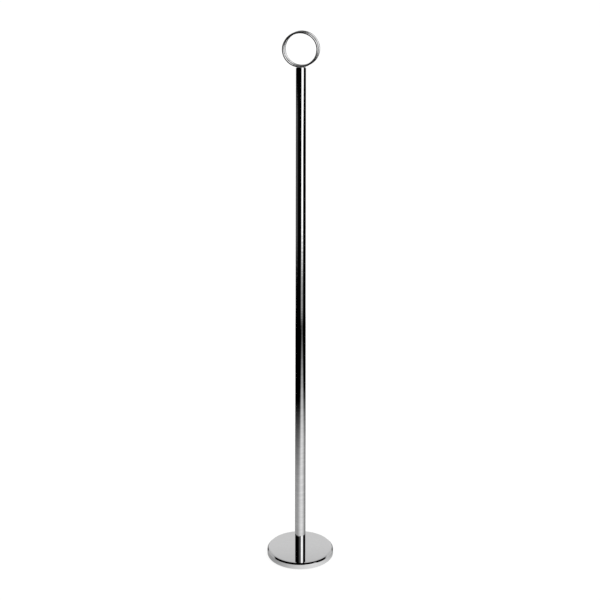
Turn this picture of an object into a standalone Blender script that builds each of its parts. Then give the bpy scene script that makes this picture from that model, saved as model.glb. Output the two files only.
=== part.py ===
"""Table number stand: a slim, slightly tapered steel pole on a round weighted base, with a double-turn wire clip on top.

Metres, +Z up. The origin is on the pole's axis, at the underside of the pad that the stand rests on.
The clip's front turn springs away from its rear turn, about the line where the wire sits in the pole.
"""

import math

import bmesh
import bpy
from mathutils import Matrix, Vector

# Driving dimensions
OVERALL_HEIGHT = 0.4572
GAP = 0.0003

BASE_RADIUS = 0.0285
BASE_TOP_Z = 0.0060
BASE_RIM_Z = 0.0005
BASE_BEVEL_WIDTH = 0.00115
BASE_BEVEL_HEIGHT = 0.0013
BASE_BEVEL_EDGE_RADIUS = 0.0003
BASE_WALL = 0.0007
RIM_EDGE_RADIUS = 0.0002

PAD_THICKNESS = 0.0012
PAD_RADIUS = 0.0265
PAD_HOLE_RADIUS = 0.0060

POLE_FOOT_RADIUS = 0.00455
POLE_TOP_RADIUS = 0.0040
POLE_WALL = 0.0008
POLE_EDGE_RADIUS = 0.0007

WIRE_RADIUS = 0.0008
TURN_RADIUS = 0.01405 - WIRE_RADIUS
TURN_SIDE_SHIFT = 0.00068
TURN_LIFT = 0.0003
CLIP_SINK = 0.0009

SCREW_RADIUS = 0.0020
SCREW_HEAD_RADIUS = 0.00375
SCREW_HEAD_RIM = 0.0003
SCREW_LENGTH = 0.0120
SCREW_SOCKET_RADIUS = 0.0025 / math.sqrt(3)
SCREW_SOCKET_DEPTH = 0.0013

INSERT_LENGTH = 0.0140
INSERT_BORE_DEPTH = 0.0110
PLUG_LENGTH = 0.0120
CHAMFER = 0.0004

# Worked out from the dimensions above
WIRE_SPACING = 2 * WIRE_RADIUS + GAP
WIRE_END_ANGLE = GAP / 2 / (TURN_RADIUS - WIRE_RADIUS)
REAR_TURN_Z = OVERALL_HEIGHT - WIRE_RADIUS - TURN_RADIUS
FRONT_TURN_Z = REAR_TURN_Z - TURN_LIFT
FRONT_TURN_LOWEST_Z = FRONT_TURN_Z - TURN_RADIUS - WIRE_RADIUS
HINGE_Z = FRONT_TURN_Z - TURN_RADIUS
POLE_TOP_Z = FRONT_TURN_LOWEST_Z + CLIP_SINK
POLE_FOOT_Z = BASE_TOP_Z + GAP
POLE_TOP_BORE = POLE_TOP_RADIUS - POLE_WALL
POLE_FOOT_BORE = POLE_FOOT_RADIUS - POLE_WALL
PLUG_RADIUS = POLE_TOP_BORE - GAP
INSERT_RADIUS = POLE_FOOT_BORE - GAP
SLOT_FLOOR_Z = FRONT_TURN_LOWEST_Z - GAP
SLOT_HALF_WIDTH = WIRE_SPACING / 2 + WIRE_RADIUS + GAP
BASE_BEVEL_TILT = math.atan2(BASE_BEVEL_WIDTH, BASE_BEVEL_HEIGHT)
COVER_INSIDE_Z = BASE_TOP_Z - BASE_WALL
WEIGHT_TOP_Z = COVER_INSIDE_Z - GAP
WEIGHT_FOOT_Z = PAD_THICKNESS + GAP
WEIGHT_RADIUS = BASE_RADIUS - BASE_WALL - GAP
CLEARANCE_RADIUS = SCREW_RADIUS + GAP

ROUND_STEPS = 64
POLE_STEPS = 40
SMALL_STEPS = 24
TURN_STEPS = 60
WIRE_SIDES = 12


def arc(centre, radius, start_deg, end_deg, steps):
    """Points (r, z) on an arc about centre."""
    angles = [math.radians(start_deg + (end_deg - start_deg) * i / steps) for i in range(steps + 1)]
    return [(centre[0] + radius * math.cos(a), centre[1] + radius * math.sin(a)) for a in angles]


def steel(name, colour, roughness, metallic=1.0):
    """A Principled material of one colour."""
    material = bpy.data.materials.new(name)
    material.use_nodes = True
    shader = material.node_tree.nodes["Principled BSDF"]
    shader.inputs["Base Color"].default_value = (*colour, 1.0)
    shader.inputs["Roughness"].default_value = roughness
    shader.inputs["Metallic"].default_value = metallic
    material.diffuse_color = (*colour, 1.0)
    return material


def add_object(name, bm, material, sharp_deg=35.0):
    """Turns a bmesh into a smooth-shaded object."""
    bmesh.ops.recalc_face_normals(bm, faces=bm.faces)
    mesh = bpy.data.meshes.new(name)
    bm.to_mesh(mesh)
    bm.free()
    mesh.shade_smooth()
    mesh.set_sharp_from_angle(angle=math.radians(sharp_deg))
    if material:
        mesh.materials.append(material)
    obj = bpy.data.objects.new(name, mesh)
    bpy.context.scene.collection.objects.link(obj)
    return obj


def turned(name, outline, steps, material):
    """A solid of revolution about Z. An outline with an end on the axis is open there, any other is closed."""
    bm = bmesh.new()
    points = [bm.verts.new((r, 0.0, z)) for r, z in outline]
    edges = [bm.edges.new(pair) for pair in zip(points, points[1:])]
    if outline[0][0] > 0:
        edges.append(bm.edges.new((points[-1], points[0])))
    bmesh.ops.spin(
        bm, geom=points + edges, cent=(0, 0, 0), axis=(0, 0, 1), angle=2 * math.pi, steps=steps, use_merge=True
    )
    bmesh.ops.remove_doubles(bm, verts=bm.verts, dist=1e-7)
    return add_object(name, bm, material)


def cutter(name, bm):
    """A helper solid that only cuts others."""
    obj = add_object(name, bm, None)
    obj.hide_render = True
    obj.display_type = "WIRE"
    return obj


def cut(obj, tool):
    """Cuts one object with another."""
    modifier = obj.modifiers.new("cut_" + tool.name, "BOOLEAN")
    modifier.operation = "DIFFERENCE"
    modifier.solver = "EXACT"
    modifier.object = tool


def bevel_corners(inset):
    """The upper and lower corner of the base's bevel, on an outline that lies inset deep in the base."""
    upper_shift = inset * (1 - math.sin(BASE_BEVEL_TILT)) / math.cos(BASE_BEVEL_TILT)
    lower_shift = inset * (1 - math.cos(BASE_BEVEL_TILT)) / math.sin(BASE_BEVEL_TILT)
    upper = (BASE_RADIUS - BASE_BEVEL_WIDTH - upper_shift, BASE_TOP_Z - inset)
    lower = (BASE_RADIUS - inset, BASE_TOP_Z - BASE_BEVEL_HEIGHT - lower_shift)
    return upper, lower


def base_cover(material):
    """Pressed steel shell with a bevelled edge, open below, with a hole for the screw."""
    outer = BASE_RADIUS
    inner = BASE_RADIUS - BASE_WALL
    tilt_deg = math.degrees(BASE_BEVEL_TILT)
    upper_centre, lower_centre = bevel_corners(BASE_BEVEL_EDGE_RADIUS)
    inside_upper, inside_lower = bevel_corners(BASE_WALL)
    outline = [(CLEARANCE_RADIUS, BASE_TOP_Z)]
    outline += arc(upper_centre, BASE_BEVEL_EDGE_RADIUS, 90, tilt_deg, 2)
    outline += arc(lower_centre, BASE_BEVEL_EDGE_RADIUS, tilt_deg, 0, 2)
    outline += arc((outer - RIM_EDGE_RADIUS, BASE_RIM_Z + RIM_EDGE_RADIUS), RIM_EDGE_RADIUS, 0, -90, 2)
    outline += arc((inner + RIM_EDGE_RADIUS, BASE_RIM_Z + RIM_EDGE_RADIUS), RIM_EDGE_RADIUS, -90, -180, 2)
    outline += [inside_lower, inside_upper, (CLEARANCE_RADIUS, COVER_INSIDE_Z)]
    return turned("base_cover", outline, ROUND_STEPS, material)


def base_weight(material):
    """Steel disc inside the cover, bevelled like it and countersunk for the screw."""
    upper_corner, lower_corner = bevel_corners(BASE_WALL + GAP)
    sink = SCREW_HEAD_RADIUS + GAP
    sink_top_z = WEIGHT_FOOT_Z + SCREW_HEAD_RIM + sink - CLEARANCE_RADIUS
    outline = [
        (CLEARANCE_RADIUS, WEIGHT_TOP_Z),
        upper_corner,
        lower_corner,
        (WEIGHT_RADIUS, WEIGHT_FOOT_Z),
        (sink, WEIGHT_FOOT_Z),
        (sink, WEIGHT_FOOT_Z + SCREW_HEAD_RIM),
        (CLEARANCE_RADIUS, sink_top_z),
    ]
    return turned("base_weight", outline, ROUND_STEPS, material)


def base_pad(material):
    """Rubber disc with a central hole that leaves the screw within reach."""
    outline = [
        (PAD_HOLE_RADIUS, PAD_THICKNESS),
        (PAD_RADIUS, PAD_THICKNESS),
        (PAD_RADIUS, 0.0),
        (PAD_HOLE_RADIUS, 0.0),
    ]
    return turned("base_pad", outline, ROUND_STEPS, material)


def base_screw(material):
    """Countersunk machine screw with a hexagon socket, its head down."""
    foot = WEIGHT_FOOT_Z
    neck_z = foot + SCREW_HEAD_RIM + SCREW_HEAD_RADIUS - SCREW_RADIUS
    tip_z = foot + SCREW_LENGTH
    outline = [
        (0.0, tip_z),
        (SCREW_RADIUS - CHAMFER, tip_z),
        (SCREW_RADIUS, tip_z - CHAMFER),
        (SCREW_RADIUS, neck_z),
        (SCREW_HEAD_RADIUS, foot + SCREW_HEAD_RIM),
        (SCREW_HEAD_RADIUS, foot),
        (0.0, foot),
    ]
    screw = turned("base_screw", outline, SMALL_STEPS, material)
    bm = bmesh.new()
    bmesh.ops.create_cone(
        bm,
        cap_ends=True,
        segments=6,
        radius1=SCREW_SOCKET_RADIUS,
        radius2=SCREW_SOCKET_RADIUS,
        depth=2 * SCREW_SOCKET_DEPTH,
        matrix=Matrix.Translation((0, 0, foot)),
    )
    cut(screw, cutter("socket_cutter", bm))
    return screw


def foot_insert(material):
    """Threaded insert in the foot of the tube: a sleeve with a closed top."""
    foot = POLE_FOOT_Z
    top = foot + INSERT_LENGTH
    outline = [
        (0.0, top),
        (INSERT_RADIUS - CHAMFER, top),
        (INSERT_RADIUS, top - CHAMFER),
        (INSERT_RADIUS, foot),
        (CLEARANCE_RADIUS + CHAMFER, foot),
        (CLEARANCE_RADIUS, foot + CHAMFER),
        (CLEARANCE_RADIUS, foot + INSERT_BORE_DEPTH),
        (0.0, foot + INSERT_BORE_DEPTH + CLEARANCE_RADIUS / 2),
    ]
    return turned("foot_insert", outline, SMALL_STEPS, material)


def pole_tube(material, slot):
    """Polished tube, slightly tapered, rounded over at its top and notched for the clip."""
    edge = POLE_EDGE_RADIUS
    outline = [(POLE_TOP_BORE, POLE_TOP_Z)]
    outline += arc((POLE_TOP_RADIUS - edge, POLE_TOP_Z - edge), edge, 90, 0, 4)
    outline.append((POLE_FOOT_RADIUS, POLE_FOOT_Z))
    outline.append((POLE_FOOT_BORE, POLE_FOOT_Z))
    tube = turned("pole_tube", outline, POLE_STEPS, material)
    cut(tube, slot)
    return tube


def top_plug(material, slot):
    """Solid plug that closes the tube's top, slotted across for the clip's wire."""
    foot = POLE_TOP_Z - PLUG_LENGTH
    outline = [
        (0.0, POLE_TOP_Z),
        (PLUG_RADIUS, POLE_TOP_Z),
        (PLUG_RADIUS, foot + CHAMFER),
        (PLUG_RADIUS - CHAMFER, foot),
        (0.0, foot),
    ]
    plug = turned("top_plug", outline, POLE_STEPS, material)
    cut(plug, slot)
    return plug


def clip_slot():
    """Cutter for the slot across the pole's top, which both turns of the clip lie in."""
    height = 4 * CLIP_SINK
    size = Matrix.Diagonal((4 * POLE_TOP_RADIUS, 2 * SLOT_HALF_WIDTH, height, 1))
    bm = bmesh.new()
    bmesh.ops.create_cube(bm, size=1.0, matrix=Matrix.Translation((0, 0, SLOT_FLOOR_Z + height / 2)) @ size)
    return cutter("slot_cutter", bm)


def clip_turn(name, centre, origin, material):
    """One turn of the clip's wire, in a plane across Y, whose ends butt in the slot at its lowest point."""
    middle = Vector(centre) - Vector(origin)
    bm = bmesh.new()
    rings = []
    for step in range(TURN_STEPS + 1):
        sweep = WIRE_END_ANGLE + (2 * math.pi - 2 * WIRE_END_ANGLE) * step / TURN_STEPS
        outward = Vector((math.sin(sweep), 0, -math.cos(sweep)))
        ring = []
        for side in range(WIRE_SIDES):
            around = 2 * math.pi * side / WIRE_SIDES
            offset = outward * math.cos(around) + Vector((0, 1, 0)) * math.sin(around)
            ring.append(bm.verts.new(middle + outward * TURN_RADIUS + offset * WIRE_RADIUS))
        rings.append(ring)
    for ring, following in zip(rings, rings[1:]):
        for side in range(WIRE_SIDES):
            beside = (side + 1) % WIRE_SIDES
            bm.faces.new((ring[side], following[side], following[beside], ring[beside]))
    bm.faces.new(rings[0])
    bm.faces.new(rings[-1])
    turn = add_object(name, bm, material)
    turn.location = origin
    return turn


def clip_front_turn(material):
    """The moving turn, with its origin on the line that it bends about."""
    centre = (-TURN_SIDE_SHIFT, -WIRE_SPACING / 2, FRONT_TURN_Z)
    hinge = (0.0, -WIRE_SPACING / 2, HINGE_Z)
    return clip_turn("clip_front_turn", centre, hinge, material)


def clip_rear_turn(material):
    """The fixed turn, which stands a little to the right of the front one and higher."""
    centre = (TURN_SIDE_SHIFT, WIRE_SPACING / 2, REAR_TURN_Z)
    return clip_turn("clip_rear_turn", centre, (0.0, 0.0, 0.0), material)


def clear_scene():
    for obj in list(bpy.data.objects):
        bpy.data.objects.remove(obj)


def main():
    clear_scene()
    mirror_steel = steel("mirror_polished_steel", (0.80, 0.80, 0.81), 0.06)
    plain_steel = steel("plain_steel", (0.45, 0.45, 0.46), 0.45)
    zinc_steel = steel("zinc_plated_steel", (0.66, 0.67, 0.69), 0.32)
    brass = steel("turned_brass", (0.71, 0.55, 0.27), 0.35)
    rubber = steel("black_rubber", (0.025, 0.025, 0.027), 0.9, metallic=0.0)

    base_cover(mirror_steel)
    base_weight(plain_steel)
    base_pad(rubber)
    base_screw(zinc_steel)
    foot_insert(brass)
    slot = clip_slot()
    pole_tube(mirror_steel, slot)
    top_plug(mirror_steel, slot)
    clip_front_turn(mirror_steel)
    clip_rear_turn(mirror_steel)


main()
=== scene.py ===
"""Looks of the table number stand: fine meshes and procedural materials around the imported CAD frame."""

import math

import bmesh
import bpy
from mathutils import Matrix, Vector


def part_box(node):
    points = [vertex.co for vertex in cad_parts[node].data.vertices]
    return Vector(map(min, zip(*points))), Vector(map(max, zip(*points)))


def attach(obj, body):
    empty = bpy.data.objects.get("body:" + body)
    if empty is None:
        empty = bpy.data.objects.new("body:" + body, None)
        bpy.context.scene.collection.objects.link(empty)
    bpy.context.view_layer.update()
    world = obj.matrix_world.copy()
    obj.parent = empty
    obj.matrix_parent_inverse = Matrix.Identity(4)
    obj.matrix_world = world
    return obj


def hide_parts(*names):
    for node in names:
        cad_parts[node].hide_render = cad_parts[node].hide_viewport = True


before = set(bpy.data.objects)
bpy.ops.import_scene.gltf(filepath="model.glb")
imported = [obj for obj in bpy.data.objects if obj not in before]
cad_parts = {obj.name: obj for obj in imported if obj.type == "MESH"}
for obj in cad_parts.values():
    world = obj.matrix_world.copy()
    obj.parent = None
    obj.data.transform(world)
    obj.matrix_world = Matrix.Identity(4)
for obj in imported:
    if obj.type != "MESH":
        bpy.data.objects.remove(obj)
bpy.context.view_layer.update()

# Sizes read from the frame, in metres
cover_low, cover_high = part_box("base_cover")
_, weight_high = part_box("base_weight")
_, pad_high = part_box("base_pad")
_, screw_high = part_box("base_screw")
_, tube_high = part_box("pole_tube")
plug_low, plug_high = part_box("top_plug")

# Sizes that the frame's boxes don't give
MM = 0.001
GAP = 0.3 * MM

BEVEL_WIDTH = 1.15 * MM
BEVEL_HEIGHT = 1.3 * MM
BEVEL_TILT = math.atan2(BEVEL_WIDTH, BEVEL_HEIGHT)
BEVEL_ROUNDING = 0.3 * MM
RIM_ROUNDING = 0.25 * MM
TOP_RING_SHARES = (0.25, 0.5, 0.75, 0.9)
SCREW_SHANK_REACH = 2 * MM
SHELL_SHARP_DEG = 60.0

PAD_HOLE_RADIUS = 6.0 * MM
PAD_ROUNDING = 0.35 * MM

TUBE_WALL = 0.8 * MM
TUBE_ROUNDING = 0.7 * MM
TUBE_SHOULDER = 3 * MM
TUBE_STRAIGHT_BORE = 14 * MM
TUBE_ABOVE_BASE = 0.02 * MM
TUBE_RINGS = 60

PLUG_TOP_REACH = 2 * MM
PLUG_WIDENING = 0.25 * MM
PLUG_CROWN_SHARE = 0.6
PLUG_CROWN_DROP = 0.02 * MM
PLUG_EDGE_INSET = 0.15 * MM
PLUG_EDGE_DROP = 0.06 * MM
PLUG_SIDE_DROP = 0.2 * MM
PLUG_CHAMFER = 0.4 * MM

SLOT_TOOL_LENGTH = 20 * MM
SLOT_TOOL_HEIGHT = 6 * MM
CUT_SHARP_DEG = 30.0

WIRE_STEPS = 256
WIRE_SIDES = 24

# The camera stands in front of the object, above it, and looks down at the middle of the pole
CAMERA_DISTANCE = 1.1888
CAMERA_HEIGHT = 0.6951
CAMERA_AIM_HEIGHT = 0.2361
CAMERA_SIDE = -0.0005
CAMERA_ROLL = math.radians(0.08)
CAMERA_LENS_MM = 93.6
CAMERA_SENSOR_MM = 36.0
CAMERA_NEAR = 0.05
CAMERA_FAR = 50.0


# ---------------------------------------------------------------- meshes

def arc(centre, radius, start_deg, end_deg, steps):
    """Points (r, z) on an arc about centre."""
    angles = [math.radians(start_deg + (end_deg - start_deg) * i / steps) for i in range(steps + 1)]
    return [(centre[0] + radius * math.cos(a), centre[1] + radius * math.sin(a)) for a in angles]


def object_from(name, bm):
    """Turns a bmesh into an object in the scene."""
    mesh = bpy.data.meshes.new(name)
    bm.to_mesh(mesh)
    bm.free()
    obj = bpy.data.objects.new(name, mesh)
    bpy.context.scene.collection.objects.link(obj)
    return obj


def shade(mesh, sharp_deg):
    """Shades a mesh smooth, apart from edges sharper than an angle."""
    mesh.shade_smooth()
    mesh.set_sharp_from_angle(angle=math.radians(sharp_deg))


def new_object(name, bm, material, body, sharp_deg=40.0):
    """A smooth-shaded piece that rides on a CAD body."""
    bmesh.ops.recalc_face_normals(bm, faces=bm.faces)
    obj = object_from(name, bm)
    shade(obj.data, sharp_deg)
    obj.data.materials.append(material)
    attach(obj, body)
    return obj


def lathe(outline, steps):
    """A solid of revolution about Z, as a bmesh. An outline that starts on the axis ends there too."""
    bm = bmesh.new()
    points = [bm.verts.new((r, 0.0, z)) for r, z in outline]
    edges = [bm.edges.new(pair) for pair in zip(points, points[1:])]
    if outline[0][0] > 0:
        edges.append(bm.edges.new((points[-1], points[0])))
    bmesh.ops.spin(
        bm, geom=points + edges, cent=(0, 0, 0), axis=(0, 0, 1), angle=2 * math.pi, steps=steps,
        use_merge=True
    )
    bmesh.ops.remove_doubles(bm, verts=bm.verts, dist=1e-7)
    return bm


def cut(obj, tool):
    """Cuts obj with tool for good."""
    modifier = obj.modifiers.new("cut", "BOOLEAN")
    modifier.operation = "DIFFERENCE"
    modifier.solver = "EXACT"
    modifier.object = tool
    bpy.context.view_layer.update()
    evaluated = obj.evaluated_get(bpy.context.evaluated_depsgraph_get())
    mesh = bpy.data.meshes.new_from_object(evaluated)
    obj.modifiers.clear()
    old = obj.data
    obj.data = mesh
    bpy.data.meshes.remove(old)
    mesh.name = obj.name
    shade(mesh, CUT_SHARP_DEG)


def radius_near(node, z, reach):
    """The largest radius of a CAD node about the pole's axis, within reach of height z."""
    points = [v.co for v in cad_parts[node].data.vertices if abs(v.co.z - z) < reach]
    return max(math.hypot(p.x, p.y) for p in points)


def bevel_corners(inset):
    """The upper and lower corner of the base's bevel, on an outline that lies inset deep in the base."""
    upper_shift = inset * (1 - math.sin(BEVEL_TILT)) / math.cos(BEVEL_TILT)
    lower_shift = inset * (1 - math.cos(BEVEL_TILT)) / math.sin(BEVEL_TILT)
    upper = (cover_high.x - BEVEL_WIDTH - upper_shift, cover_high.z - inset)
    lower = (cover_high.x - inset, cover_high.z - BEVEL_HEIGHT - lower_shift)
    return upper, lower


def make_base_shell(material):
    """Pressed shell: flat top, bevelled edge, rolled rim and open underside."""
    outer = cover_high.x
    top = cover_high.z
    rim = cover_low.z
    wall = top - weight_high.z - GAP
    inner = outer - wall
    hole = radius_near("base_screw", screw_high.z - SCREW_SHANK_REACH, SCREW_SHANK_REACH) + GAP
    tilt_deg = math.degrees(BEVEL_TILT)
    upper_centre, lower_centre = bevel_corners(BEVEL_ROUNDING)
    inside_upper, inside_lower = bevel_corners(wall)
    soft = RIM_ROUNDING
    outline = [(hole, top)]
    outline += [(outer * share, top) for share in TOP_RING_SHARES]
    outline += arc(upper_centre, BEVEL_ROUNDING, 90, tilt_deg, steps=8)
    outline += arc(lower_centre, BEVEL_ROUNDING, tilt_deg, 0, steps=8)
    outline += arc((outer - soft, rim + soft), soft, 0, -90, steps=8)
    outline += arc((inner + soft, rim + soft), soft, -90, -180, steps=6)
    outline += [inside_lower, inside_upper, (hole, top - wall)]
    bm = lathe(outline, steps=256)
    shell = new_object("base_shell", bm, material, "stand", SHELL_SHARP_DEG)
    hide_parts("base_cover")


def make_pad(material):
    """Rubber disc with softened edges and a hole for the screw."""
    outer = pad_high.x
    top = pad_high.z
    hole = PAD_HOLE_RADIUS
    soft = PAD_ROUNDING
    outline = arc((hole + soft, top - soft), soft, 180, 90, steps=5)
    outline += arc((outer - soft, top - soft), soft, 90, 0, steps=5)
    outline += arc((outer - soft, soft), soft, 0, -90, steps=5)
    outline += arc((hole + soft, soft), soft, -90, -180, steps=5)
    pad = new_object("underside_pad", lathe(outline, steps=128), material, "stand")
    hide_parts("base_pad")


def slot_tool():
    """A block that cuts the clip's slot across the pole's top. It is removed after the cuts."""
    turn_low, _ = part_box("clip_front_turn")
    _, rear_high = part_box("clip_rear_turn")
    width = 2 * (rear_high.y + GAP)
    middle = turn_low.z - GAP + SLOT_TOOL_HEIGHT / 2
    bm = bmesh.new()
    size = Matrix.Diagonal((SLOT_TOOL_LENGTH, width, SLOT_TOOL_HEIGHT, 1))
    bmesh.ops.create_cube(bm, size=1.0, matrix=Matrix.Translation((0, 0, middle)) @ size)
    bmesh.ops.recalc_face_normals(bm, faces=bm.faces)
    return object_from("slot_tool", bm)


def make_pole(material, tool):
    """Tapered tube, rounded over at its top."""
    foot_radius = tube_high.x
    top_radius = radius_near("top_plug", plug_high.z, PLUG_TOP_REACH) + GAP + TUBE_WALL
    top = tube_high.z
    foot = cover_high.z + TUBE_ABOVE_BASE
    shoulder = top - TUBE_SHOULDER
    soft = TUBE_ROUNDING
    outline = [(top_radius - TUBE_WALL, top)]
    outline += arc((top_radius - soft, top - soft), soft, 90, 0, steps=10)
    for i in range(TUBE_RINGS + 1):
        z = shoulder + (foot - shoulder) * (i / TUBE_RINGS)
        outline.append((top_radius + (foot_radius - top_radius) * (top - z) / (top - foot), z))
    outline.append((foot_radius - TUBE_WALL, foot))
    outline.append((top_radius - TUBE_WALL, top - TUBE_STRAIGHT_BORE))
    pole = new_object("pole", lathe(outline, steps=128), material, "stand")
    cut(pole, tool)
    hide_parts("pole_tube")


def make_plug(material, tool):
    """Plug in the top of the tube, slightly crowned, slotted for the wire."""
    radius = plug_high.x + PLUG_WIDENING
    foot = plug_low.z
    top = plug_high.z
    outline = [
        (0.0, top),
        (radius * PLUG_CROWN_SHARE, top - PLUG_CROWN_DROP),
        (radius - PLUG_EDGE_INSET, top - PLUG_EDGE_DROP),
        (radius, top - PLUG_SIDE_DROP),
        (radius, foot + PLUG_CHAMFER),
        (radius - PLUG_CHAMFER, foot),
        (0.0, foot),
    ]
    plug = new_object("pole_plug", lathe(outline, steps=96), material, "stand")
    cut(plug, tool)
    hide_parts("top_plug")


def make_turn(name, node, body, material):
    """One turn of the clip's wire, as a fine ring."""
    low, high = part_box(node)
    centre = (low + high) / 2
    wire = (high.y - low.y) / 2
    radius = (high.x - low.x) / 2 - wire
    bm = bmesh.new()
    rings = []
    for step in range(WIRE_STEPS):
        sweep = 2 * math.pi * step / WIRE_STEPS
        outward = Vector((math.sin(sweep), 0, -math.cos(sweep)))
        ring = []
        for side in range(WIRE_SIDES):
            around = 2 * math.pi * side / WIRE_SIDES
            offset = outward * math.cos(around) + Vector((0, 1, 0)) * math.sin(around)
            ring.append(bm.verts.new(centre + outward * radius + offset * wire))
        rings.append(ring)
    for i, ring in enumerate(rings):
        following = rings[(i + 1) % WIRE_STEPS]
        for side in range(WIRE_SIDES):
            beside = (side + 1) % WIRE_SIDES
            bm.faces.new((ring[side], following[side], following[beside], ring[beside]))
    turn = new_object(name, bm, material, body)
    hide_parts(node)


# ---------------------------------------------------------------- nodes

FADE_IN = (0.0, 1.0)
FADE_OUT = (1.0, 0.0)


def node(tree, kind, inputs=None, **settings):
    """Adds a node. An input's value is a number, a colour or another node's output."""
    made = tree.nodes.new(kind)
    for name, value in settings.items():
        setattr(made, name, value)
    for key, value in (inputs or {}).items():
        if isinstance(value, bpy.types.NodeSocket):
            tree.links.new(value, made.inputs[key])
        else:
            made.inputs[key].default_value = value
    return made


def calc(tree, operation, *values):
    """A Math node's output."""
    return node(tree, "ShaderNodeMath", dict(enumerate(values)), operation=operation).outputs[0]


def product(tree, first, *others):
    """All the values multiplied."""
    for other in others:
        first = calc(tree, "MULTIPLY", first, other)
    return first


def ramp(tree, value, span, levels=FADE_IN):
    """Eases from one level to another while value crosses the span."""
    inputs = {
        "Value": value,
        "From Min": span[0], "From Max": span[1],
        "To Min": levels[0], "To Max": levels[1],
    }
    return node(tree, "ShaderNodeMapRange", inputs, interpolation_type="SMOOTHSTEP").outputs["Result"]


def window(tree, value, rise, fall):
    """1 between two edges, each eased to 0 over its own span."""
    return product(tree, ramp(tree, value, rise), ramp(tree, value, fall, FADE_OUT))


def noise(tree, vector, scale, detail=2.0, roughness=0.5):
    """A noise texture's value, from about 0 to 1."""
    inputs = {"Vector": vector, "Scale": scale, "Detail": detail, "Roughness": roughness}
    return node(tree, "ShaderNodeTexNoise", inputs).outputs[0]


def stretched(tree, vector, scale):
    """Coordinates scaled along each axis."""
    return node(tree, "ShaderNodeMapping", {"Vector": vector, "Scale": scale}).outputs[0]


def object_place(tree):
    """The point on the surface, in its piece's own coordinates."""
    return node(tree, "ShaderNodeTexCoord").outputs["Object"]


# ---------------------------------------------------------------- materials

def new_material(name):
    """(material, its node tree, its Principled shader)"""
    material = bpy.data.materials.new(name)
    material.use_nodes = True
    tree = material.node_tree
    return material, tree, tree.nodes["Principled BSDF"]


def colour_between(tree, shader, factor, dark, light):
    """Colours the shader between two colours."""
    colours = {"Factor": factor, "A": (*dark, 1), "B": (*light, 1)}
    mixed = node(tree, "ShaderNodeMix", colours, data_type="RGBA").outputs["Result"]
    tree.links.new(mixed, shader.inputs["Base Color"])


def bump_up(tree, shader, height, strength, distance):
    """Gives the shader's surface a fine relief."""
    bump = node(tree, "ShaderNodeBump", {"Height": height, "Strength": strength, "Distance": distance})
    tree.links.new(bump.outputs["Normal"], shader.inputs["Normal"])


def mirror_steel(name, grain, ripple, dark, light):
    """Mirror-polished steel: faint polishing lines along grain, a slight ripple and a thin haze."""
    material, tree, shader = new_material(name)
    place = object_place(tree)
    haze = noise(tree, place, scale=70.0, detail=3.0)
    lines = noise(tree, stretched(tree, place, grain), scale=1.0, detail=3.0, roughness=0.6)
    line_tone = ramp(tree, lines, span=(0.38, 0.66), levels=(0.0, 0.6))
    haze_share = 0.4
    tone = calc(tree, "MULTIPLY_ADD", haze, haze_share, line_tone)
    dark_blue, light_blue = dark + 0.006, light + 0.002
    colour_between(tree, shader, tone, dark=(dark, dark, dark_blue), light=(light, light, light_blue))
    shader.inputs["Metallic"].default_value = 1.0
    haze_rough = ramp(tree, haze, span=(0.4, 0.7), levels=(0.012, 0.03))
    line_rough = ramp(tree, lines, span=(0.55, 0.8), levels=(0.0, 0.03))
    tree.links.new(calc(tree, "ADD", haze_rough, line_rough), shader.inputs["Roughness"])
    bump_up(tree, shader, lines, strength=1.0, distance=ripple)
    return material


def steel_finishes():
    """The polished steel of each part. Its lines run round the pole, and evenly over base and wire."""
    return {
        "pole": mirror_steel(
            "polished_steel_pole", grain=(140.0, 140.0, 520.0), ripple=0.016 * MM,
            dark=0.70, light=0.83),
        "base": mirror_steel(
            "polished_steel_base", grain=(420.0, 420.0, 420.0), ripple=0.0010 * MM,
            dark=0.755, light=0.785),
        "clip": mirror_steel(
            "polished_steel_wire", grain=(900.0, 900.0, 900.0), ripple=0.0006 * MM,
            dark=0.73, light=0.81),
    }


def rubber(name):
    """Matte black rubber with a fine grain."""
    material, tree, shader = new_material(name)
    place = object_place(tree)
    grain = noise(tree, place, scale=2600.0, detail=3.0, roughness=0.65)
    patches = noise(tree, place, scale=120.0)
    colour_between(tree, shader, patches, dark=(0.016, 0.016, 0.017), light=(0.040, 0.039, 0.038))
    tree.links.new(ramp(tree, grain, span=(0.3, 0.7), levels=(0.72, 0.95)), shader.inputs["Roughness"])
    bump_up(tree, shader, grain, strength=0.8, distance=0.15 * MM)
    return material


def turned_metal(name, dark, light, rough):
    """Machined metal with fine rings about the pole's axis and slight staining."""
    material, tree, shader = new_material(name)
    place = object_place(tree)
    x, y, z = node(tree, "ShaderNodeSeparateXYZ", {"Vector": place}).outputs
    x_squared, y_squared = calc(tree, "POWER", x, 2.0), calc(tree, "POWER", y, 2.0)
    radius = calc(tree, "SQRT", calc(tree, "ADD", x_squared, y_squared))
    height_share = 1.3
    along = calc(tree, "ADD", radius, calc(tree, "MULTIPLY", z, height_share))
    ring_place = node(tree, "ShaderNodeCombineXYZ", {"X": along}).outputs[0]
    rings = noise(tree, ring_place, scale=4200.0, roughness=0.6)
    stains = noise(tree, place, scale=90.0, detail=3.0)
    colour_between(tree, shader, stains, dark, light)
    shader.inputs["Metallic"].default_value = 1.0
    tree.links.new(ramp(tree, rings, span=(0.3, 0.75), levels=rough), shader.inputs["Roughness"])
    bump_up(tree, shader, rings, strength=0.6, distance=0.02 * MM)
    return material


# ---------------------------------------------------------------- studio

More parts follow.
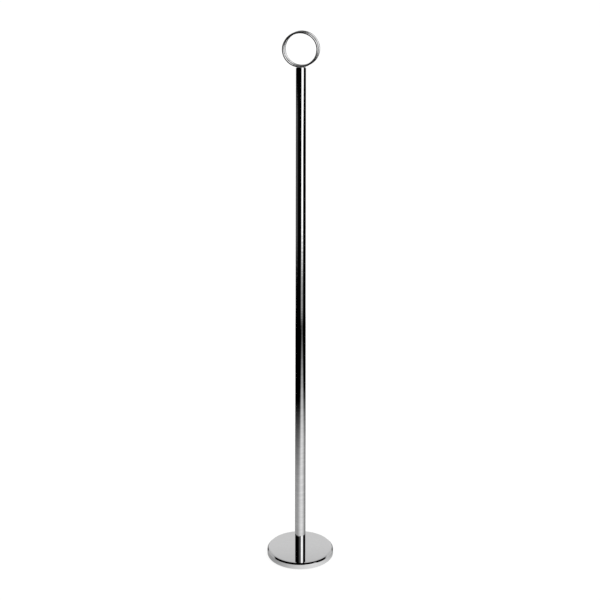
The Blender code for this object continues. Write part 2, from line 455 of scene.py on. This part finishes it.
# What the polished steel reflects, by direction in degrees. Azimuth 0 is the front and 90 the right, and
# elevation 0 is level. A pair of angles is an edge, which is eased from the first angle to the second.
# A patch is its left, right, bottom and top edge. SIDE angles count the same to the left and the right.
SOFTBOX_LEFT_EDGE = (11.0, 21.0)
SOFTBOX_RIGHT_EDGE = (55.0, 66.0)
SOFTBOX_BOTTOM_EDGE = (-20.8, -18.0)
SOFTBOX_TOP_EDGE = (38.0, 46.0)
SOFTBOX_NARROWS_BELOW = (-15.5, -13.0)
SOFTBOX_NARROWS_BY = 10.0
SOFTBOX_LEVEL = 1.6

FLOOR_GLOW_PATCH = ((0.0, 18.0), (32.0, 62.0), (-26.0, -24.0), (-20.6, -18.6))
FLOOR_GLOW_LEVEL = 0.40

BACKDROP_SIDE_EDGE = (147.0, 158.0)
BACKDROP_TOP_EDGE = (60.0, 45.0)
BACKDROP_FIRST_DIMMING = (10.0, 29.0)
BACKDROP_FIRST_LEVELS = (1.0, 0.73)
BACKDROP_SECOND_DIMMING = (29.9, 31.1)
BACKDROP_SECOND_LEVELS = (1.0, 0.82)

LEFT_GLOW_PATCH = ((-150.0, -110.0), (-95.0, -58.0), (-20.5, -18.5), (-14.2, -13.2))
LEFT_GLOW_LEVEL = 0.10

LOW_WALLS_SIDE_PATCH = ((66.0, 100.0), (150.0, 160.0), (0.0, 9.0), (25.0, 29.5))
HIGH_WALLS_SIDE_PATCH = ((95.0, 122.0), (150.0, 160.0), (31.4, 32.6), (38.0, 44.0))
WALLS_LEFT_TO_RIGHT = (-90.0, 90.0)
WALLS_LEVELS = (0.52, 0.62)

FRONT_WALL_PATCH = ((-45.0, 0.0), (14.0, 24.0), (12.0, 26.0), (36.0, 46.0))
FRONT_WALL_LEVEL = 0.13

ROOM_LEVEL = 0.0006

# The painted reflection of a table top in a pool of light, by direction round the stand and distance from
# it
# in metres: a glowing disc whose brightness paints the light and the table's shaded sides. A lobe is its
# azimuth, the power that narrows it and how much it changes.
TABLE_RADIUS = 0.60
TABLE_HEIGHT = -0.0002
TABLE_CLEARS_OVER = (0.52, 0.60)
TABLE_LEVEL = 0.385
TABLE_LEVEL_LOBES = ((28.0, 1.8, 0.51), (110.0, 2.0, -0.12), (-165.0, 8.0, -0.30))
TABLE_FADE_START = 0.090
TABLE_FADE_START_LOBES = ((75.0, 1.0, 0.125),)
TABLE_FADE_END = 0.330
TABLE_FADE_END_LOBES = ((75.0, 1.0, 0.035), (32.0, 9.0, 0.280))

# The glowing card that paints a bright reflection into the clip's rear turn, curved about the pole's axis
CARD_DISTANCE = 0.9
CARD_FROM_DEG = -150
CARD_TO_DEG = 5
CARD_STEP_DEG = 5
CARD_LOW_Z = -0.2
CARD_HIGH_Z = 0.40
CARD_LEVEL = 1.1

# The plain surroundings that the camera sees
FLOOR_RADIUS = 8.0
FLOOR_HEIGHT = -0.0001
FLOOR_GLOW = 0.86
SURROUND_RADIUS = 7.5

OVERHEAD_STRENGTH = 3.4
OVERHEAD_SOFTNESS = math.radians(80.0)
OVERHEAD_TILT = (math.radians(12.0), math.radians(8.0), 0.0)


def direction_angles(tree, vector):
    """(azimuth, elevation) of a direction, in degrees."""
    x, y, z = node(tree, "ShaderNodeSeparateXYZ", {"Vector": vector}).outputs
    azimuth = calc(tree, "ARCTAN2", x, calc(tree, "MULTIPLY", y, -1.0))
    elevation = calc(tree, "ARCSINE", z)
    return calc(tree, "DEGREES", azimuth), calc(tree, "DEGREES", elevation)


def patch(tree, azimuth, elevation, edges):
    """1 inside a patch's left, right, bottom and top edge, eased to 0 outside."""
    left, right, bottom, top = edges
    return product(tree, window(tree, azimuth, left, right), window(tree, elevation, bottom, top))


def with_lobes(tree, azimuth, level, lobes):
    """A level that changes towards some directions, by less and less up to a right angle from each."""
    for middle_deg, power, change in lobes:
        swing = calc(tree, "SUBTRACT", azimuth, middle_deg)
        lobe = calc(tree, "COSINE", calc(tree, "RADIANS", swing))
        lobe = calc(tree, "POWER", calc(tree, "MAXIMUM", lobe, 0.0), power)
        level = calc(tree, "MULTIPLY_ADD", lobe, change, level)
    return level


def studio_world():
    """The room that the polished steel reflects, with a softbox front right and a pale backdrop."""
    world = bpy.data.worlds.new("studio")
    bpy.context.scene.world = world
    world.use_nodes = True
    tree = world.node_tree
    place = node(tree, "ShaderNodeTexCoord").outputs["Generated"]
    azimuth, elevation = direction_angles(tree, place)
    side = calc(tree, "ABSOLUTE", azimuth)

    narrowing = ramp(tree, elevation, SOFTBOX_NARROWS_BELOW, (SOFTBOX_NARROWS_BY, 0.0))
    right_place = calc(tree, "ADD", azimuth, narrowing)
    softbox = product(
        tree,
        ramp(tree, azimuth, SOFTBOX_LEFT_EDGE),
        ramp(tree, right_place, SOFTBOX_RIGHT_EDGE, FADE_OUT),
        window(tree, elevation, SOFTBOX_BOTTOM_EDGE, SOFTBOX_TOP_EDGE),
        SOFTBOX_LEVEL,
    )
    backdrop = product(
        tree,
        ramp(tree, side, BACKDROP_SIDE_EDGE),
        ramp(tree, elevation, BACKDROP_TOP_EDGE),
        ramp(tree, elevation, BACKDROP_FIRST_DIMMING, BACKDROP_FIRST_LEVELS),
        ramp(tree, elevation, BACKDROP_SECOND_DIMMING, BACKDROP_SECOND_LEVELS),
    )
    low_walls = patch(tree, side, elevation, LOW_WALLS_SIDE_PATCH)
    high_walls = patch(tree, side, elevation, HIGH_WALLS_SIDE_PATCH)
    walls_level = ramp(tree, azimuth, WALLS_LEFT_TO_RIGHT, WALLS_LEVELS)
    walls = product(tree, calc(tree, "ADD", low_walls, high_walls), walls_level)
    floor_glow = product(tree, patch(tree, azimuth, elevation, FLOOR_GLOW_PATCH), FLOOR_GLOW_LEVEL)
    left_glow = product(tree, patch(tree, azimuth, elevation, LEFT_GLOW_PATCH), LEFT_GLOW_LEVEL)
    front_wall = product(tree, patch(tree, azimuth, elevation, FRONT_WALL_PATCH), FRONT_WALL_LEVEL)

    total = ROOM_LEVEL
    for part in (softbox, floor_glow, backdrop, left_glow, walls, front_wall):
        total = calc(tree, "ADD", part, total)
    grey = node(tree, "ShaderNodeCombineColor", {"Red": total, "Green": total, "Blue": total}).outputs[0]
    background = tree.nodes["Background"]
    background.inputs["Strength"].default_value = 1.0
    tree.links.new(grey, background.inputs["Color"])


def stage_piece(name, bm, material, height=0.0):
    """A piece of the stage, which isn't part of the object."""
    obj = object_from(name, bm)
    obj.data.materials.append(material)
    obj.location.z = height
    return obj


def stage_disc(name, radius, height, material):
    """A flat round stage piece."""
    bm = bmesh.new()
    bmesh.ops.create_circle(bm, cap_ends=True, segments=128, radius=radius)
    return stage_piece(name, bm, material, height)


def only_seen_by(obj, camera=False, glossy=False, diffuse=False, shadow=False):
    """Limits the rays that meet a stage piece."""
    obj.visible_camera = camera
    obj.visible_glossy = glossy
    obj.visible_diffuse = diffuse
    obj.visible_shadow = shadow
    obj.visible_transmission = camera
    obj.visible_volume_scatter = False


def light_only(source, *names):
    """Limits a glowing surface to the named pieces."""
    receivers = bpy.data.collections.new(source.name + "_receivers")
    for name in names:
        receivers.objects.link(bpy.data.objects[name])
    source.light_linking.receiver_collection = receivers


def glowing_material(name):
    """(material, its node tree without a Principled shader, its surface socket)"""
    material, tree, shader = new_material(name)
    tree.nodes.remove(shader)
    return material, tree, tree.nodes["Material Output"].inputs["Surface"]


def painted_table_reflection():
    """Painted reflection of a table top in a pool of light round the stand: a glowing disc, brighter and
    darker by direction, which only the base and the pole reflect.
    """
    material, tree, surface = glowing_material("painted_table_reflection")
    place = object_place(tree)
    azimuth, _ = direction_angles(tree, place)
    distance = node(tree, "ShaderNodeVectorMath", {0: place}, operation="LENGTH").outputs["Value"]
    level = with_lobes(tree, azimuth, TABLE_LEVEL, TABLE_LEVEL_LOBES)
    fade_start = with_lobes(tree, azimuth, TABLE_FADE_START, TABLE_FADE_START_LOBES)
    fade_end = with_lobes(tree, azimuth, TABLE_FADE_END, TABLE_FADE_END_LOBES)
    near = ramp(tree, distance, (fade_start, fade_end), FADE_OUT)
    # Painted light: this glow's strength paints the pool of light and the table's shaded sides into the
    # base's and the pole's reflections.
    painted_glow = node(tree, "ShaderNodeEmission", {"Strength": product(tree, level, near)})
    clear = node(tree, "ShaderNodeBsdfTransparent")
    inside = ramp(tree, distance, TABLE_CLEARS_OVER, FADE_OUT)
    mix = node(tree, "ShaderNodeMixShader", {0: inside, 1: clear.outputs[0], 2: painted_glow.outputs[0]})
    tree.links.new(mix.outputs[0], surface)
    disc = stage_disc("painted_table_reflection", TABLE_RADIUS, TABLE_HEIGHT, material)
    only_seen_by(disc, glossy=True)
    light_only(disc, "base_shell", "pole")


def painted_rear_turn_reflection():
    """Glowing card at the left that paints a bright reflection into the clip's rear turn, the only piece
    that reflects it, on top of the room behind.
    """
    material, tree, surface = glowing_material("painted_rear_turn_reflection")
    # Painted reflection: this glow brightens only the rear turn's reflection.
    painted_glow = node(tree, "ShaderNodeEmission", {"Strength": CARD_LEVEL})
    clear = node(tree, "ShaderNodeBsdfTransparent")
    both = node(tree, "ShaderNodeAddShader", {0: painted_glow.outputs[0], 1: clear.outputs[0]})
    tree.links.new(both.outputs[0], surface)
    bm = bmesh.new()
    columns = []
    for azimuth_deg in range(CARD_FROM_DEG, CARD_TO_DEG + 1, CARD_STEP_DEG):
        azimuth = math.radians(azimuth_deg)
        x, y = CARD_DISTANCE * math.sin(azimuth), -CARD_DISTANCE * math.cos(azimuth)
        columns.append([bm.verts.new((x, y, z)) for z in (CARD_LOW_Z, CARD_HIGH_Z)])
    for (low_a, high_a), (low_b, high_b) in zip(columns, columns[1:]):
        bm.faces.new((low_a, low_b, high_b, high_a))
    card = stage_piece("painted_rear_turn_reflection", bm, material)
    only_seen_by(card, glossy=True)
    light_only(card, "clip_rear")


def floor_and_background():
    """Plain pale floor that runs into a plain white surround. Both glow, so that shadows stay faint."""
    material, tree, shader = new_material("pale_floor")
    speck = noise(tree, object_place(tree), scale=40.0)
    colour_between(tree, shader, speck, dark=(0.13, 0.13, 0.13), light=(0.15, 0.15, 0.15))
    shader.inputs["Roughness"].default_value = 1.0
    shader.inputs["Specular IOR Level"].default_value = 0.0
    shader.inputs["Emission Color"].default_value = (1, 1, 1, 1)
    shader.inputs["Emission Strength"].default_value = FLOOR_GLOW
    floor = stage_disc("floor", FLOOR_RADIUS, FLOOR_HEIGHT, material)
    only_seen_by(floor, camera=True, diffuse=True, shadow=True)

    white, tree, surface = glowing_material("surround")
    glow = node(tree, "ShaderNodeEmission", {"Color": (1, 1, 1, 1), "Strength": 1.0})
    tree.links.new(glow.outputs[0], surface)
    bm = bmesh.new()
    bmesh.ops.create_icosphere(bm, subdivisions=4, radius=SURROUND_RADIUS)
    surround = stage_piece("surround", bm, white)
    only_seen_by(surround, camera=True)


def soft_light():
    """Wide overhead light for the floor and the matte parts."""
    data = bpy.data.lights.new("overhead", "SUN")
    data.energy = OVERHEAD_STRENGTH
    data.angle = OVERHEAD_SOFTNESS
    light = bpy.data.objects.new("overhead", data)
    light.rotation_euler = OVERHEAD_TILT
    bpy.context.scene.collection.objects.link(light)
    light.visible_glossy = False
    light.visible_camera = False


def make_camera():
    """The camera, at the photo's angle."""
    data = bpy.data.cameras.new("camera")
    data.lens = CAMERA_LENS_MM
    data.sensor_width = CAMERA_SENSOR_MM
    data.clip_start = CAMERA_NEAR
    data.clip_end = CAMERA_FAR
    camera = bpy.data.objects.new("camera", data)
    bpy.context.scene.collection.objects.link(camera)
    camera.location = (CAMERA_SIDE, -CAMERA_DISTANCE, CAMERA_HEIGHT)
    look = Vector((CAMERA_SIDE, 0.0, CAMERA_AIM_HEIGHT)) - camera.location
    turn = look.to_track_quat("-Z", "Y").to_matrix() @ Matrix.Rotation(CAMERA_ROLL, 3, "Z")
    camera.rotation_euler = turn.to_euler()
    bpy.context.scene.camera = camera


# ---------------------------------------------------------------- the scene

bpy.context.scene.view_settings.view_transform = "Standard"
finishes = steel_finishes()
slot_cutter = slot_tool()
make_base_shell(finishes["base"])
make_pad(rubber("pad_rubber"))
make_pole(finishes["pole"], slot_cutter)
make_plug(finishes["pole"], slot_cutter)
make_turn("clip_front", "clip_front_turn", "front_turn", finishes["clip"])
make_turn("clip_rear", "clip_rear_turn", "stand", finishes["clip"])
bpy.data.objects.remove(slot_cutter)
cad_looks = {
    "base_weight": turned_metal(
        "weight_steel", dark=(0.30, 0.29, 0.28), light=(0.47, 0.47, 0.47), rough=(0.32, 0.55)),
    "base_screw": turned_metal(
        "screw_zinc", dark=(0.55, 0.56, 0.58), light=(0.72, 0.72, 0.73), rough=(0.22, 0.4)),
    "foot_insert": turned_metal(
        "insert_brass", dark=(0.62, 0.44, 0.18), light=(0.78, 0.60, 0.30), rough=(0.2, 0.4)),
}
for name, look in cad_looks.items():
    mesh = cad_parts[name].data
    mesh.materials.clear()
    mesh.materials.append(look)
studio_world()
painted_table_reflection()
painted_rear_turn_reflection()
floor_and_background()
soft_light()
make_camera()
